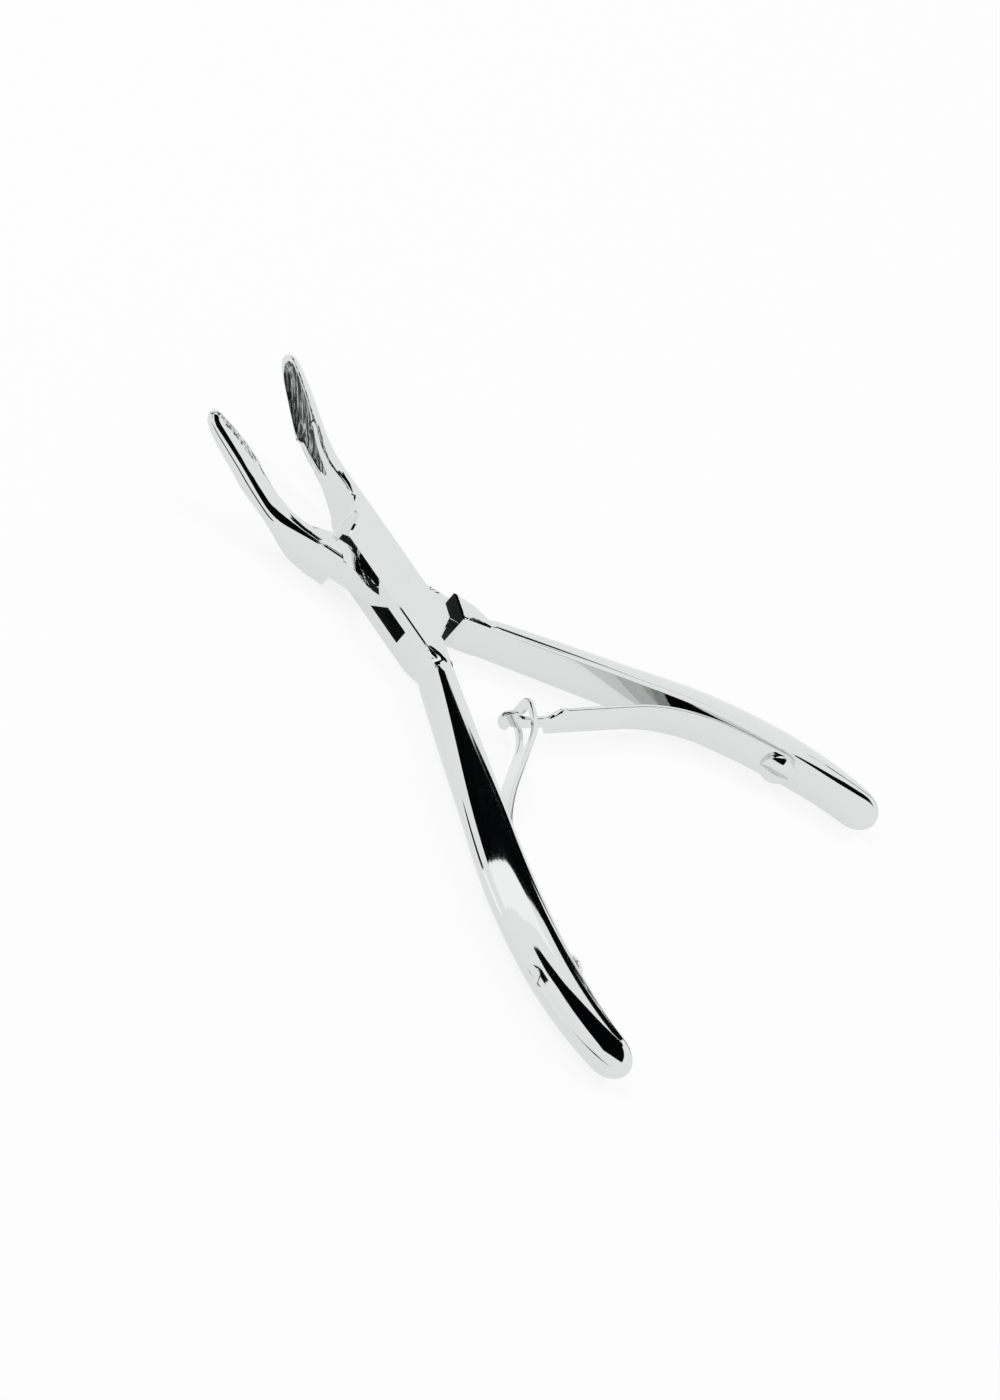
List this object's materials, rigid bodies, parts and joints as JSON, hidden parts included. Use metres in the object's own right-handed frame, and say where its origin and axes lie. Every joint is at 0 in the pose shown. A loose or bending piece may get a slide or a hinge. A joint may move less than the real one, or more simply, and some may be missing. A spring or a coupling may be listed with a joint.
{
  "type": "bone rongeur",
  "caption": "Box-lock bone rongeur: two polished halves with cupped, upward curved jaws and bowed handles that two interlocking leaf springs hold open",
  "frame": {"origin": "pivot axis where it meets the flat underside of the box", "axes": "+X from the jaws to the handles, midway between the open halves; +Y towards the tang half's handle; +Z along the pivot, to the face the jaws curve up on"},
  "size_m": [0.1285, 0.1088, 0.0156],
  "materials": {
    "box_half_steel": "mirror polished",
    "tang_half_steel": "mirror polished",
    "pin_steel": "mirror polished",
    "spring_steel": "mirror polished",
    "screw_steel": "mirror polished"
  },
  "bodies": {
    "box_body": {"box_half": "box_half_steel", "pivot_pin": "pin_steel", "window_spring_screw": "screw_steel"},
    "tang_body": {"tang_half": "tang_half_steel", "tongue_spring_screw": "screw_steel"},
    "window_leaf": {"window_spring": "spring_steel"},
    "tongue_leaf": {"tongue_spring": "spring_steel"}
  },
  "joints": [
    {"name": "jaw_pivot", "type": "hinge", "parent": "box_body", "child": "tang_body", "pos_m": [0, 0, 0.00368], "axis": [0, 0, 1], "range_deg": [-36.5, 0], "stiffness_Nm_per_rad": 1.2, "springref_deg": 2.86},
    {"name": "window_leaf_bend", "type": "hinge", "parent": "box_body", "child": "window_leaf", "pos_m": [0.04918, -0.03286, 0.00368], "axis": [0, 0, 1], "range_deg": [0, 18.25], "deforming": ["window_spring"]},
    {"name": "tongue_leaf_bend", "type": "hinge", "parent": "tang_body", "child": "tongue_leaf", "pos_m": [0.04918, 0.03286, 0.00368], "axis": [0, 0, 1], "range_deg": [-18.25, 0], "deforming": ["tongue_spring"]}
  ],
  "couplings": [
    {"joint": "window_leaf_bend", "follows": "jaw_pivot", "ratio": -0.5},
    {"joint": "tongue_leaf_bend", "follows": "jaw_pivot", "ratio": 0.5}
  ]
}
